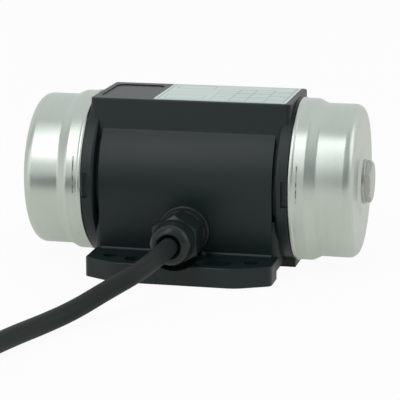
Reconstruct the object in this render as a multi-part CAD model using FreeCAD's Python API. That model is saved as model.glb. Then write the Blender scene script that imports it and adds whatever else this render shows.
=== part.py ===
import FreeCAD, Part
import math
import os
from FreeCAD import Vector

# Small three-phase vibration motor.  Millimetres.
# +X runs along the shaft, -Y is the side of the cable gland, +Z is up.
# The origin is the middle of the foot's underside.

# ---------------------------------------------------------------- driving dimensions
# shaft and barrel
RING_R = 37.0             # end ring of the housing
RING_CLEAR = 1.9          # from the ring's lowest point to the underside of the foot
AXIS_Z = RING_R + RING_CLEAR          # shaft height above the underside of the foot
RING_STEP = 3.0           # of the end ring above the barrel
BARREL_R = RING_R - RING_STEP         # outside of the barrel
BARREL_WALL = 5.0
BORE_R = BARREL_R - BARREL_WALL       # stator bore of the housing
BARREL_HALF = 39.6        # half length of the barrel's skin
GROOVE_DEPTH = 2.8
GROOVE_FLOOR_R = BARREL_R - GROOVE_DEPTH  # bottom of the crescent groove beside each end ring
GROOVE_W = 1.8            # width of that groove
RING_L = 5.6
RING_FACE_X = BARREL_HALF + GROOVE_W + RING_L   # machined end face of the ring
RING_SHARP = 0.2          # edge of the machined face
RING_EDGE = 1.2           # rounding of the ring's inner edge
NOTCH_L = 2.9             # pry notch in the ring, along the shaft
NOTCH_H = 11.8            # pry notch, height
NOTCH_DEPTH = 2.0         # pry notch, depth

# top block
BLOCK_INSET = 1.1         # of the block's ends from the machined faces
BLOCK_HALF_L = RING_FACE_X - BLOCK_INSET
BLOCK_HALF_W = 22.4
BLOCK_RISE = 0.8          # of the block above the end rings
BLOCK_TOP_Z = AXIS_Z + RING_R + BLOCK_RISE
BLOCK_CORNER = 2.0        # rounding of the upright corners
BLOCK_EDGE = 0.6          # rounding of the top edge
BLOCK_ROOT = 2.0          # fillet between block and barrel
BLOCK_SPREAD = 1.8        # of each side, from the top down to the barrel
BLOCK_ROOT_HALF_W = BLOCK_HALF_W + BLOCK_SPREAD
BLOCK_ROOT_Z = AXIS_Z + math.sqrt(BARREL_R ** 2 - BLOCK_ROOT_HALF_W ** 2)
BLOCK_DRAFT = BLOCK_SPREAD / (BLOCK_TOP_Z - BLOCK_ROOT_Z)
PLATE_L = 60.5            # rating plate
PLATE_W = 41.8
PLATE_T = 0.3
PLATE_CORNER = 1.0
PLATE_EDGE = 2.4          # from the plate to the block's right end
PLATE_X = BLOCK_HALF_L - PLATE_EDGE - PLATE_L / 2
PLATE_Y = -0.5
PANEL_EDGE = 2.9          # from the blank relief panel to the block's left end
PANEL_TO_PLATE = 3.0
PANEL_L = 2 * BLOCK_HALF_L - PLATE_L - PLATE_EDGE - PANEL_EDGE - PANEL_TO_PLATE
PANEL_W = 34.0
PANEL_R = 4.0
PANEL_DEPTH = 0.5
PANEL_X = PANEL_EDGE + PANEL_L / 2 - BLOCK_HALF_L

# fixing holes in the foot
SLOT_W = 9.0
SLOT_L = 16.5
SLOT_PITCH_X = 32.5
SLOT_PITCH_Y = 92.0
HOLE_R = 3.3
HOLE_PITCH_X = 64.0
HOLE_PITCH_Y = 84.0

# foot and pedestal
FOOT_T = 8.85
FOOT_INSET = 4.6
FOOT_END_X = RING_FACE_X - FOOT_INSET # end of the foot and of the pedestal
FOOT_END_RIM = 5.4        # outside the round holes
FOOT_END_HALF_W = HOLE_PITCH_Y / 2 + FOOT_END_RIM
FOOT_MID_RUN = 11.35
FOOT_MID_X = SLOT_PITCH_X / 2 + FOOT_MID_RUN  # where the long side starts to taper back
FOOT_MID_RIM = 9.1        # outside the slots
FOOT_MID_HALF_W = SLOT_PITCH_Y / 2 + FOOT_MID_RIM
FOOT_CORNER = 3.6
FOOT_BEND = 16.0
FOOT_EDGE = 0.6
PEDESTAL_INSET = 3.0
PEDESTAL_HALF_W = BARREL_R - PEDESTAL_INSET
PEDESTAL_CORNER = 3.0
COVE_R = 1.6              # cove between the pedestal and the foot
RELIEF_RIM_L = 6.4
RELIEF_HALF_L = FOOT_END_X - RELIEF_RIM_L  # hollow between the saddles
PAD_W = 12.9              # of the pads along the foot's long sides
RELIEF_HALF_W = FOOT_END_HALF_W - PAD_W
RELIEF_DEPTH = 3.6
SADDLE_HALF_W = 12.0      # pad under each end ring

# caps
CAP_T = 0.8               # sheet
CAP_RIM_GAP = 0.15        # between the rim and the ring's face
CAP_INSET = 0.1
CAP_BIG_R = RING_R - CAP_INSET
CAP_DRAW = 1.95
CAP_SMALL_R = CAP_BIG_R - CAP_DRAW
CAP_BEAD_H = 0.35
CAP_BEAD_R = CAP_BIG_R + CAP_BEAD_H   # rolled rim
CAP_BEAD_L = 1.5
CAP_BEAD_ROUND = 0.7
CAP_BIG_L = 7.6
CAP_STEP_X = RING_FACE_X + CAP_BIG_L  # start of the draw step
CAP_STEP_L = 4.0
CAP_STEP_ROUND = 2.2
CAP_STEP_SHIFT = 0.3      # of the step's inner face, which keeps the sheet's thickness
CAP_L = 28.4
CAP_END_X = RING_FACE_X + CAP_L       # flat of the end
CAP_CORNER = 4.3
CAP_CROWN_H = 1.1         # raised middle of the end
CAP_CROWN_R = 13.5
CAP_CROWN_RUN = 3.0
CAP_CROWN_ROUND = 2.0
CAP_CROWN_SHIFT = 0.2

# cap bolt, its washer and the bridge that it screws into
BOLT_R = 5.0
BOLT_AF = 17.0
BOLT_HEAD_H = 2.7
BOLT_L = 8.0              # shank below the head
WASHER_R = 10.2
WASHER_T = 0.9
BOLT_HOLE_GAP = 0.2       # in the cap and the washer
BRIDGE_STAND = 22.2
BRIDGE_X = RING_FACE_X + BRIDGE_STAND # inner face of the bridge bar
BRIDGE_T = 2.5
BRIDGE_W = 11.0
BRIDGE_END_GAP = 2.05
BRIDGE_HALF_L = CAP_SMALL_R - BRIDGE_END_GAP
BRIDGE_BOSS_R = 8.5
BRIDGE_BOSS_H = 1.9
POST_R = 2.6
POST_INSET = 3.1
POST_PITCH_R = BRIDGE_HALF_L - POST_INSET
POST_TAP_L = 7.0          # tapped depth at the outer end of a post
POST_STUD_SHORT = 0.5     # of the shield's face, where a post's stud ends
SMALL_SCREW_R = 1.5       # M3 screws of the bridge and the end shields
SMALL_HEAD_R = 2.75
SMALL_HEAD_H = 1.8
SMALL_SOCKET_R = 1.3

# end shields
SHIELD_T = 5.0            # plate outside the ring's face
SHIELD_INSET = 1.3
SHIELD_R = RING_R - SHIELD_INSET
PILOT_L = 3.5
PILOT_WALL = 4.0
HUB_WALL = 4.5
LIP_R = 13.5
SHIELD_SCREW_INSET = 3.7
SHIELD_SCREW_PITCH_R = SHIELD_R - SHIELD_SCREW_INSET
SHIELD_SCREW_ANGLE = 60.0
SHIELD_SCREW_DEPTH = 9.0
SEAL_SECTION_R = 0.9      # seal ring under the cap's rim
SEAL_GROOVE_DEPTH = 1.5
SEAL_STAND = 3.0
SEAL_X = RING_FACE_X + SEAL_STAND

# bearings, 12 x 32 x 10
BEARING_DEPTH = 7.0
BEARING_IN_X = RING_FACE_X - BEARING_DEPTH  # shaft shoulder
BEARING_BORE_R = 6.0
BEARING_OUT_R = 16.0
BEARING_W = 10.0
BALL_R = 2.95
BALL_COUNT = 7
BALL_GAP = 0.1
RACE_IN_R = 8.9           # outside of the inner ring
RACE_OUT_R = 13.2         # inside of the outer ring
CAGE_T = 1.3
CAGE_W = 7.2
PRELOAD_T = 0.5           # spring washer behind the outer ring
FIT_GAP = 0.02            # between pieces that are fitted tight
RUN_GAP = 0.05            # between pieces that turn on each other
FACE_GAP = 0.3            # between faces that move past each other

# shaft, rotor and stator
SHAFT_R = 7.5             # under the rotor
SHAFT_PROUD = 21.5
SHAFT_END_X = RING_FACE_X + SHAFT_PROUD
SHAFT_CHAMFER = 0.8
CORE_DEPTH = 25.0
CORE_HALF_L = RING_FACE_X - CORE_DEPTH
AIR_GAP = 0.3
TOOTH_TIP = 1.2           # depth of the tooth tips
STATOR_YOKE = 5.0         # iron between the slots and the bore
SPLIT_RATIO = 0.5483      # rotor to stator diameter, so both grow with the bore
ROTOR_R = SPLIT_RATIO * BORE_R
STATOR_SLOT_DEPTH = BORE_R - STATOR_YOKE - TOOTH_TIP - AIR_GAP - ROTOR_R
CAGE_RING_L = 3.2
CAGE_RING_RIM = 0.5       # of the end rings outside the bars
CAGE_RING_IN = 2.5        # from the shaft to the end rings
CAGE_BAR_R = 1.2
CAGE_BAR_DEPTH = 2.5
CAGE_BAR_PITCH_R = ROTOR_R - CAGE_BAR_DEPTH
CAGE_BARS = 10
SLOT_COUNT = 12
STATOR_SLOT_MOUTH = 2.0
SLOT_SHARE_IN = 0.5       # of the pitch, at the slot's narrow end
SLOT_SHARE_OUT = 0.62     # of the pitch, at its wide end
STATOR_YOKE_GAP = 0.05
WINDING_L = 10.0          # overhang of the end windings
WINDING_CLEAR = 1.7       # outside the rotor
WINDING_IN_R = ROTOR_R + WINDING_CLEAR
WINDING_WALL_GAP = 2.4
WINDING_OUT_R = BORE_R - WINDING_WALL_GAP
WINDING_EDGE = 3.0
COIL_GAP = 0.15

# eccentric weights
WEIGHT_POST_GAP = 0.4
WEIGHT_R = POST_PITCH_R - POST_R - WEIGHT_POST_GAP
WEIGHT_T = 5.0
WEIGHT_HUB_R = 11.0
WEIGHT_ANGLE = 150.0      # of the heavy sector
WEIGHT_STAND = 9.3
WEIGHT_X = RING_FACE_X + WEIGHT_STAND # inner face of the fixed weight
KEY_W = 4.0
KEY_H = 4.0
KEY_L = 4.4
KEY_PROUD = 1.8           # of the shaft
SPACER_WALL = 2.3
CLAMP_EAR_W = 12.0
CLAMP_EAR_H = 14.5
CLAMP_SLIT = 1.2
CLAMP_SCREW_R = 1.5
CLAMP_SCREW_Z = 10.6
CLAMP_HEAD_R = 2.2
CLAMP_HEAD_H = 1.6
CLAMP_SOCKET_R = 0.9
CIRCLIP_T = 1.0
CIRCLIP_R = 8.2
CIRCLIP_GROOVE_R = 5.3
CIRCLIP_MOUTH = 3.2

# cable gland, M16, axis along -Y
GLAND_DROP = 19.4         # of the gland below the shaft
GLAND_Z = AXIS_Z - GLAND_DROP
BOSS_R = 11.75
BOSS_PROUD = 1.0
BOSS_FACE_Y = -BARREL_R - BOSS_PROUD
BOSS_L = 12.0             # into the barrel
BOSS_EDGE = 0.9
NUT_RELIEF_R = 13.0       # hollow in the foot under the dome nut
GLAND_THREAD_R = 7.9
GLAND_THREAD_L = 7.0
GASKET_R = 10.6
GASKET_T = 1.6
GLAND_BASE_R = 10.3
GLAND_BASE_T = 1.4
GLAND_AF = 19.0
GLAND_HEX_L = 5.0
GLAND_NECK_R = 7.4
GLAND_NECK_L = 10.0
NUT_AF = 20.0
NUT_START = 8.6           # from the boss face to the nut
NUT_HEX_L = 10.0
NUT_DOME_L = 10.4
NUT_DOME_R = 9.2
NUT_DOME_ROUND = 4.2
NUT_MOUTH_R = 4.75
NUT_MOUTH_FLARE = 1.0
NUT_BORE_GAP = 0.15       # round the body's neck
NUT_SEAT_L = 3.2          # cone that squeezes the insert
NUT_WALL = 1.2
INSERT_L = 7.0
PIP_R = 1.9               # rounded end of the cove beside the gland
PIP_X = 8.2
PIP_RISE = 0.4
PIP_Z = FOOT_T + PIP_RISE

# cable
CABLE_R = 4.1
CABLE_SET_BACK = 26.5
CABLE_START_Y = BOSS_FACE_Y - CABLE_SET_BACK  # inside the mouth of the dome nut
CORE_COUNT = 4
CORE_R = 1.0
COIL_X = -100.0
COIL_Y = -200.0
COIL_OUTER_R = 50.0       # middle of the outer turns
COIL_ROWS = 3
COIL_LAYERS = 2
COIL_EDGE = 3.5           # rounding of the coil's section
TAIL_STEPS = 4
TAIL_STEP_DEG = 22.0
TAIL_START_DEG = 200.0
CORE_L = 24.0
CORE_PITCH = 2.1          # between the bared cores
CORE_SPLAY = 0.05         # how far they fan out
END_GAP = 0.4             # between a cable's end and what goes on from it
LEAD_R = 0.8
LEAD_PITCH = 2.4 * LEAD_R
LEAD_CLEAR = 0.7          # from the pocket's front wall
LEAD_RISE = 2.2
LEAD_SWEEP = 7.0          # from the cable's end to where a lead lies along the pocket
POCKET_L = 40.0           # wiring pocket beside the stator
POCKET_X = 13.0           # middle of the pocket
POCKET_H = 12.0
POCKET_WALL = 7.5
POCKET_FRONT_Y = BOSS_FACE_Y + POCKET_WALL
POCKET_DEPTH = 9.5
POCKET_BACK_Y = POCKET_FRONT_Y + POCKET_DEPTH

# the cable's way over the table, from the gland to the coil
CABLE_ROUTE = [
    (0.0, CABLE_START_Y, GLAND_Z),
    (0.0, -80.0, GLAND_Z),
    (-5.5, -96.5, 16.0),
    (-15.5, -109.5, 11.3),
    (-25.0, -123.5, 6.4),
    (-33.5, -138.0, CABLE_R + 0.05),
    (-40.0, -156.0, CABLE_R + 0.05),
    (-46.0, -177.0, CABLE_R + 0.05),
    (COIL_X + COIL_OUTER_R, COIL_Y, CABLE_R + 0.05),
]

X_DIR = Vector(1, 0, 0)
Y_DIR = Vector(0, 1, 0)
Z_DIR = Vector(0, 0, 1)
CENTRE = Vector(0, 0, AXIS_Z)


# the corners of a hexagon are turned off over this share of how far they stand out
HEX_BREAK = 0.6           # along the axis
HEX_BREAK_IN = 1.05       # inwards


# ---------------------------------------------------------------- helpers
def rod(radius, x0, x1, y=0.0, z=AXIS_Z):
    """Cylinder along X."""
    return Part.makeCylinder(radius, x1 - x0, Vector(x0, y, z), X_DIR)


def rod_y(radius, y0, y1, x=0.0, z=GLAND_Z):
    """Cylinder along Y."""
    return Part.makeCylinder(radius, y1 - y0, Vector(x, y0, z), Y_DIR)


def post(radius, z0, z1, x=0.0, y=0.0):
    """Upright cylinder."""
    return Part.makeCylinder(radius, z1 - z0, Vector(x, y, z0), Z_DIR)


def block(x0, x1, y0, y1, z0, z1):
    return Part.makeBox(x1 - x0, y1 - y0, z1 - z0, Vector(x0, y0, z0))


def rounded_wire(corners, place):
    """Closed wire through corners (u, v, radius); place turns (u, v) into a Vector."""
    points = [place(u, v) for u, v, _ in corners]
    count = len(corners)
    starts, ends, middles = [], [], []
    for i, (_, _, radius) in enumerate(corners):
        here = points[i]
        back = (points[i - 1] - here).normalize()
        ahead = (points[(i + 1) % count] - here).normalize()
        half = back.getAngle(ahead) / 2
        if radius > 0 and half < math.pi / 2 - 1e-6:
            run = radius / math.tan(half)
            inward = (back + ahead).normalize()
            starts.append(here + back * run)
            ends.append(here + ahead * run)
            middles.append(here + inward * (radius / math.sin(half) - radius))
        else:
            starts.append(here)
            ends.append(here)
            middles.append(None)
    edges = []
    for i in range(count):
        if middles[i] is not None:
            edges.append(Part.Arc(starts[i], middles[i], ends[i]).toShape())
        following = starts[(i + 1) % count]
        if (following - ends[i]).Length > 1e-6:
            edges.append(Part.LineSegment(ends[i], following).toShape())
    return Part.Wire(edges)


def turned(corners):
    """Solid of revolution about the shaft; corners are (x, radius, rounding)."""
    wire = rounded_wire(corners, lambda x, r: Vector(x, 0, AXIS_Z + r))
    return Part.Face(wire).revolve(CENTRE, X_DIR, 360)


def turned_y(corners):
    """Solid of revolution about the gland's axis; corners are (y, radius, rounding)."""
    wire = rounded_wire(corners, lambda y, r: Vector(0, y, GLAND_Z + r))
    return Part.Face(wire).revolve(Vector(0, 0, GLAND_Z), Y_DIR, 360)


def plate_across(corners, x0, x1):
    """Plate across the shaft; corners are (y, z from the shaft, rounding)."""
    wire = rounded_wire(corners, lambda y, z: Vector(x0, y, AXIS_Z + z))
    return Part.Face(wire).extrude(Vector(x1 - x0, 0, 0))


def plate_flat(corners, z0, z1):
    """Flat plate; corners are (x, y, rounding)."""
    wire = rounded_wire(corners, lambda x, y: Vector(x, y, z0))
    return Part.Face(wire).extrude(Vector(0, 0, z1 - z0))


def rectangle(half_u, half_v, rounding, mid_u=0.0, mid_v=0.0):
    """Corners of a rectangle for rounded_wire."""
    signs = [(-1, -1), (1, -1), (1, 1), (-1, 1)]
    return [(mid_u + su * half_u, mid_v + sv * half_v, rounding) for su, sv in signs]


def hexagon(across_flats, start, length, along, middle):
    """Hexagonal prism with turned-off corners, along X or Y."""
    corner_r = across_flats / math.sqrt(3)
    side, up = (Y_DIR, Z_DIR) if along == X_DIR else (X_DIR, Z_DIR)
    ring = []
    for i in range(7):
        angle = math.radians(60 * i + 30)
        ring.append(start + side * (corner_r * math.cos(angle)) + up * (corner_r * math.sin(angle)))
    prism = Part.Face(Part.makePolygon(ring)).extrude(middle * length)
    # cone that breaks the outer corners, as on a pressed or turned nut
    drop = corner_r - across_flats / 2
    break_l = drop * HEX_BREAK
    low = start + middle * (length - break_l)
    cone = Part.makeCone(corner_r, corner_r - drop * HEX_BREAK_IN, break_l, low, middle)
    body = Part.makeCylinder(corner_r + 0.01, length - break_l, start, middle)
    return prism.common(body.fuse(cone))


def both_ends(shape):
    """The left and the right copy of a shape drawn at the right (+X) end."""
    return shape.mirror(Vector(0, 0, 0), X_DIR), shape


def around(shape, count, centre=CENTRE, axis=X_DIR, first=0.0):
    """Copies of a shape, evenly spaced around an axis."""
    copies = []
    for i in range(count):
        copy = shape.copy()
        copy.rotate(centre, axis, first + 360.0 * i / count)
        copies.append(copy)
    return copies


def path_wire(points):
    """Straight runs joined by tangent arcs, and the arcs' radii."""
    spots = [Vector(*p) for p in points]
    edges, radii = [], []
    last = spots[0]
    for i in range(1, len(spots) - 1):
        back = spots[i - 1] - spots[i]
        ahead = spots[i + 1] - spots[i]
        turn = math.pi - back.getAngle(ahead)
        cut = 0.45 * min(back.Length, ahead.Length)
        radius = cut / math.tan(turn / 2)
        radii.append(radius)
        back.normalize()
        ahead.normalize()
        begin = spots[i] + back * cut
        end = spots[i] + ahead * cut
        inward = (back + ahead).normalize()
        middle = spots[i] + inward * (radius / math.cos(turn / 2) - radius)
        edges.append(Part.LineSegment(last, begin).toShape())
        edges.append(Part.Arc(begin, middle, end).toShape())
        last = end
    edges.append(Part.LineSegment(last, spots[-1]).toShape())
    return Part.Wire(edges), radii


def tube(points, radius):
    """Round tube along a path of straight runs and tangent arcs."""
    wire, radii = path_wire(points)
    start = Vector(*points[0])
    heading = Vector(*points[1]) - start
    circle = Part.Wire(Part.makeCircle(radius, start, heading))
    solid = wire.makePipeShell([circle], True, False)
    return solid, wire, radii


# ---------------------------------------------------------------- housing
def foot_plate():
    corners = []
    for sx, sy in ((1, 1), (-1, 1), (-1, -1), (1, -1)):
        end = (sx * FOOT_END_X, sy * FOOT_END_HALF_W, FOOT_CORNER)
        bend = (sx * FOOT_MID_X, sy * FOOT_MID_HALF_W, FOOT_BEND)
        corners += [end, bend] if sx == sy else [bend, end]
    foot = plate_flat(corners, 0, FOOT_T)
    top_edges = [e for e in foot.Edges if abs(e.CenterOfMass.z - FOOT_T) < 1e-4]
    return foot.makeFillet(FOOT_EDGE, top_edges)


def foot_holes():
    """Cutters of the four slots and the four round holes."""
    cutters = []
    run = (SLOT_L - SLOT_W) / 2
    below, above = -1.0, FOOT_T + 1.0
    for sx in (-1, 1):
        for sy in (-1, 1):
            x, y = sx * SLOT_PITCH_X / 2, sy * SLOT_PITCH_Y / 2
            slot = rectangle(run + SLOT_W / 2, SLOT_W / 2, SLOT_W / 2 - 1e-3, x, y)
            cutters.append(plate_flat(slot, below, above))
            cutters.append(post(HOLE_R, below, above, sx * HOLE_PITCH_X / 2, sy * HOLE_PITCH_Y / 2))
    return cutters


def coves():
    """Coves along the pedestal's foot, on both long sides."""
    shapes = []
    for side in (-1, 1):
        y = side * PEDESTAL_HALF_W
        length = 2 * (FOOT_END_X - PEDESTAL_CORNER)
        bar = Part.makeBox(length, COVE_R, COVE_R, Vector(-length / 2, min(y, y + side * COVE_R), FOOT_T))
        hollow_start = Vector(-length / 2, y + side * COVE_R, FOOT_T + COVE_R)
        hollow = Part.makeCylinder(COVE_R, length, hollow_start, X_DIR)
        shapes.append(bar.cut(hollow))
    return shapes


def drafted_block(half_l, top_z):
    """Block whose sides spread downwards, as far as the shaft's height."""
    low_w = BLOCK_HALF_W + BLOCK_DRAFT * (BLOCK_TOP_Z - AXIS_Z)
    top_w = BLOCK_HALF_W + BLOCK_DRAFT * (BLOCK_TOP_Z - top_z)
    rise = top_z - AXIS_Z
    return plate_across([(-low_w, 0, 0), (low_w, 0, 0), (top_w, rise, 0), (-top_w, rise, 0)],
                        -half_l, half_l)


def top_block():
    """Drafted block with its rounded corners and top edge."""
    body = drafted_block(BLOCK_HALF_L, BLOCK_TOP_Z)
    middle_z = (AXIS_Z + BLOCK_TOP_Z) / 2
    corners = []
    for edge in body.Edges:
        middle = edge.CenterOfMass
        if abs(middle.z - middle_z) < 1e-3 and abs(abs(middle.x) - BLOCK_HALF_L) < 1e-3:
            corners.append(edge)
    body = body.makeFillet(BLOCK_CORNER, corners)
    top_edges = [e for e in body.Edges if abs(e.CenterOfMass.z - BLOCK_TOP_Z) < 1e-4]
    return body.makeFillet(BLOCK_EDGE, top_edges)


def skirt():
    """Drafted walls that leave the barrel tangentially and stand on the foot."""
    drop = AXIS_Z - FOOT_T
    reach = math.hypot(PEDESTAL_HALF_W, drop)
    touch = math.atan2(drop, PEDESTAL_HALF_W) - math.acos(BARREL_R / reach)
    touch_y, touch_z = BARREL_R * math.cos(touch), -BARREL_R * math.sin(touch)
    return plate_across([
        (-PEDESTAL_HALF_W, -drop, 0), (PEDESTAL_HALF_W, -drop, 0),
        (touch_y, touch_z, 0), (-touch_y, touch_z, 0),
    ], -BARREL_HALF, BARREL_HALF)


def barrel_with_block():
    """Barrel and block with the fillet where the block's sides meet the barrel."""
    barrel = rod(BARREL_R, -BARREL_HALF, BARREL_HALF)
    joined = barrel.fuse(drafted_block(BARREL_HALF, BLOCK_TOP_Z - 2))
    joined = joined.fuse(skirt()).removeSplitter()
    roots = []
    for edge in joined.Edges:
        middle = edge.CenterOfMass
        on_side = abs(abs(middle.y) - BLOCK_ROOT_HALF_W) < 1e-3 and abs(middle.z - BLOCK_ROOT_Z) < 1e-3
        if on_side and edge.Length > BARREL_HALF:
            roots.append(edge)
    return joined.makeFillet(BLOCK_ROOT, roots)


def end_ring():
    """Ring at the right end, with its rounded inner edge, saddle and notches."""
    inner_x = BARREL_HALF + GROOVE_W
    ring = turned([
        (inner_x, BORE_R - 1, 0), (inner_x, RING_R, RING_EDGE),
        (RING_FACE_X, RING_R, RING_SHARP), (RING_FACE_X, BORE_R - 1, 0),
    ])
    saddle = block(inner_x, RING_FACE_X, -SADDLE_HALF_W, SADDLE_HALF_W, 0, AXIS_Z - BORE_R - 1)
    ring = ring.fuse(saddle)
    for side in (-1, 1):
        y0, y1 = sorted((side * (RING_R - NOTCH_DEPTH), side * (RING_R + 1)))
        notch = block(RING_FACE_X - NOTCH_L, RING_FACE_X + 1, y0, y1,
                      AXIS_Z - NOTCH_H / 2, AXIS_Z + NOTCH_H / 2)
        ring = ring.cut(notch)
    return ring


def foot_relief():
    """Cutters of the channels inside the long pads and of the hollow between the saddles."""
    through = FOOT_END_X + 1
    middle_w = SADDLE_HALF_W + 1
    cutters = [block(-RELIEF_HALF_L, RELIEF_HALF_L, -middle_w, middle_w, -1, RELIEF_DEPTH)]
    for side in (-1, 1):
        y0, y1 = sorted((side * SADDLE_HALF_W, side * RELIEF_HALF_W))
        cutters.append(block(-through, through, y0, y1, -1, RELIEF_DEPTH))
    return cutters


def gland_boss():
    boss = rod_y(BOSS_R, BOSS_FACE_Y, BOSS_FACE_Y + BOSS_L)
    rim = [e for e in boss.Edges if abs(e.CenterOfMass.y - BOSS_FACE_Y) < 1e-4]
    return boss.makeFillet(BOSS_EDGE, rim)


def shield_screw_spots():
    """(y, z) of the end shield's screws."""
    spots = []
    for angle in (SHIELD_SCREW_ANGLE, 180 - SHIELD_SCREW_ANGLE,
                  180 + SHIELD_SCREW_ANGLE, -SHIELD_SCREW_ANGLE):
        turn = math.radians(angle)
        y, z = SHIELD_SCREW_PITCH_R * math.cos(turn), SHIELD_SCREW_PITCH_R * math.sin(turn)
        spots.append((y, AXIS_Z + z))
    return spots


def make_housing():
    pedestal_top = AXIS_Z - math.sqrt(BARREL_R ** 2 - PEDESTAL_HALF_W ** 2)
    pedestal = plate_flat(rectangle(FOOT_END_X, PEDESTAL_HALF_W, PEDESTAL_CORNER), 0, pedestal_top)
    parts = [
        top_block(),
        rod(GROOVE_FLOOR_R, -RING_FACE_X + 1, RING_FACE_X - 1),
        pedestal,
        foot_plate(),
        gland_boss(),
        *coves(),
        *both_ends(end_ring()),
    ]
    for side in (-1, 1):
        parts.append(Part.makeSphere(PIP_R, Vector(side * PIP_X, -PEDESTAL_HALF_W - COVE_R, PIP_Z)))
    body = barrel_with_block().multiFuse(parts)
    thread_end = BOSS_FACE_Y + GLAND_THREAD_L + 1
    cutters = [
        rod(BORE_R, -RING_FACE_X - 1, RING_FACE_X + 1),
        *foot_relief(),
        rod_y(NUT_RELIEF_R, -FOOT_MID_HALF_W - 2, BOSS_FACE_Y),
        rod_y(GLAND_THREAD_R + RUN_GAP, BOSS_FACE_Y - 1, thread_end),
        block(POCKET_X - POCKET_L / 2, POCKET_X + POCKET_L / 2, POCKET_FRONT_Y, POCKET_BACK_Y,
              GLAND_Z - POCKET_H / 2, GLAND_Z + POCKET_H / 2),
        plate_flat(rectangle(PANEL_L / 2, PANEL_W / 2, PANEL_R, PANEL_X),
                   BLOCK_TOP_Z - PANEL_DEPTH, BLOCK_TOP_Z + 1),
        *foot_holes(),
    ]
    for y, z in shield_screw_spots():
        hole = rod(SMALL_SCREW_R + RUN_GAP, RING_FACE_X - SHIELD_SCREW_DEPTH - 1, RING_FACE_X + 1, y, z)
        cutters += both_ends(hole)
    for cutter in cutters:
        body = body.cut(cutter)
    return body.removeSplitter()


def make_rating_plate():
    corners = rectangle(PLATE_L / 2, PLATE_W / 2, PLATE_CORNER, PLATE_X, PLATE_Y)
    return plate_flat(corners, BLOCK_TOP_Z, BLOCK_TOP_Z + PLATE_T)


# ---------------------------------------------------------------- caps and their bolts
def make_cap():
    rim_x = RING_FACE_X + CAP_RIM_GAP
    bead_x = rim_x + CAP_BEAD_L
    step_end = CAP_STEP_X + CAP_STEP_L
    crown_foot = CAP_CROWN_R + CAP_CROWN_RUN
    crown_x = CAP_END_X + CAP_CROWN_H
    hole_r = BOLT_R + BOLT_HOLE_GAP
    big_in, small_in = CAP_BIG_R - CAP_T, CAP_SMALL_R - CAP_T
    lag = CAP_STEP_SHIFT
    outside = [
        (rim_x, CAP_BEAD_R, CAP_BEAD_ROUND), (bead_x, CAP_BEAD_R, 0.5), (bead_x + 0.5, CAP_BIG_R, 0.3),
        (CAP_STEP_X, CAP_BIG_R, CAP_STEP_ROUND), (step_end, CAP_SMALL_R, CAP_STEP_ROUND),
        (CAP_END_X, CAP_SMALL_R, CAP_CORNER), (CAP_END_X, crown_foot, CAP_CROWN_ROUND),
        (crown_x, CAP_CROWN_R, CAP_CROWN_ROUND), (crown_x, hole_r, 0),
    ]
    inside = [
        (crown_x - CAP_T, hole_r, 0), (crown_x - CAP_T, CAP_CROWN_R - CAP_CROWN_SHIFT, CAP_CROWN_ROUND),
        (CAP_END_X - CAP_T, crown_foot - CAP_CROWN_SHIFT, CAP_CROWN_ROUND),
        (CAP_END_X - CAP_T, small_in, CAP_CORNER - CAP_T),
        (step_end - lag, small_in, CAP_STEP_ROUND), (CAP_STEP_X - lag, big_in, CAP_STEP_ROUND),
        (rim_x, big_in, 0),
    ]
    return turned(outside + inside)


def make_cap_washer():
    face = CAP_END_X + CAP_CROWN_H
    return turned([
        (face, BOLT_R + BOLT_HOLE_GAP, 0), (face, WASHER_R, 0),
        (face + WASHER_T, WASHER_R, 0.3), (face + WASHER_T, BOLT_R + BOLT_HOLE_GAP, 0),
    ])


def make_cap_bolt():
    under = CAP_END_X + CAP_CROWN_H + WASHER_T
    head = hexagon(BOLT_AF, Vector(under, 0, AXIS_Z), BOLT_HEAD_H, X_DIR, X_DIR)
    shank_r = BOLT_R - 2 * RUN_GAP + FIT_GAP
    shank = turned([
        (under - BOLT_L, 0, 0), (under - BOLT_L, shank_r, 0.6),
        (under + 0.5, shank_r, 0), (under + 0.5, 0, 0),
    ])
    return head.fuse(shank).removeSplitter()


def make_bridge_bar():
    bar_end = BRIDGE_X + BRIDGE_T
    bar = plate_across(rectangle(BRIDGE_HALF_L, BRIDGE_W / 2, BRIDGE_W / 2 - 0.5), BRIDGE_X, bar_end)
    bar = bar.fuse(rod(BRIDGE_BOSS_R, BRIDGE_X, bar_end + BRIDGE_BOSS_H))
    bar = bar.cut(rod(BOLT_R, BRIDGE_X - 1, bar_end + BRIDGE_BOSS_H + 1))
    for side in (-1, 1):
        bar = bar.cut(rod(SMALL_SCREW_R + RUN_GAP, BRIDGE_X - 1, bar_end + 1, side * POST_PITCH_R))
    return bar.removeSplitter()


def make_bridge_posts():
    plate_x = RING_FACE_X + SHIELD_T
    posts = []
    for side in (-1, 1):
        y = side * POST_PITCH_R
        stud = rod(SMALL_SCREW_R, plate_x - SHIELD_T + POST_STUD_SHORT, plate_x, y)
        stem = rod(POST_R, plate_x, BRIDGE_X, y).fuse(stud)
        posts.append(stem.cut(rod(SMALL_SCREW_R + RUN_GAP, BRIDGE_X - POST_TAP_L, BRIDGE_X + 1, y)))
    return Part.makeCompound(posts)


def cap_screw(seat_x, length, y, z):
    """Socket-head screw along X, with its head outside seat_x."""
    head = rod(SMALL_HEAD_R, seat_x, seat_x + SMALL_HEAD_H, y, z)
    socket = rod(SMALL_SOCKET_R, seat_x + SMALL_HEAD_H / 2, seat_x + SMALL_HEAD_H + 1, y, z)
    return head.cut(socket).fuse(rod(SMALL_SCREW_R, seat_x - length, seat_x, y, z)).removeSplitter()


def make_bridge_screws():
    seat = BRIDGE_X + BRIDGE_T
    length = BRIDGE_T + POST_TAP_L - 1
    screws = [cap_screw(seat, length, side * POST_PITCH_R, AXIS_Z) for side in (-1, 1)]
    return Part.makeCompound(screws)


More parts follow.
